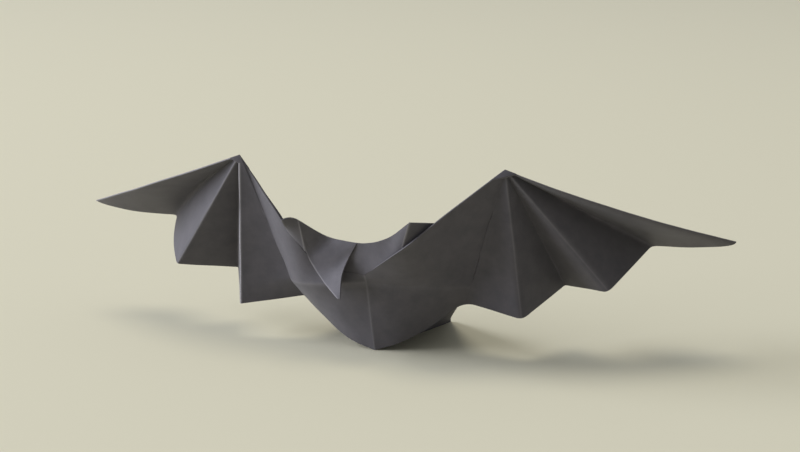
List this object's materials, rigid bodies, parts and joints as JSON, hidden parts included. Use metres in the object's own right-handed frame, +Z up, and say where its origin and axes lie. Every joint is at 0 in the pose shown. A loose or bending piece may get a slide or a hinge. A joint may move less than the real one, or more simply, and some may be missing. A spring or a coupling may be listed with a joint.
{
  "type": "origami bat",
  "caption": "Bat folded from one sheet of dark paper, with pleated wings spread, a head flap over a ridged body, and a body that stands on its foot and heels.",
  "frame": {"origin": "on the table, under the middle of the wingspan and the middle of the depth from the right ear to the heels", "axes": "+X along the wingspan to the bat's left wing, which is on the right of the picture, +Y from the face to the heels, +Z up"},
  "size_m": [0.1734, 0.0494, 0.0487],
  "materials": {
    "charcoal_paper": "matt charcoal craft paper, paler on worn creases"
  },
  "bodies": {
    "root": {"folded_bat": "charcoal_paper"}
  },
  "joints": []
}
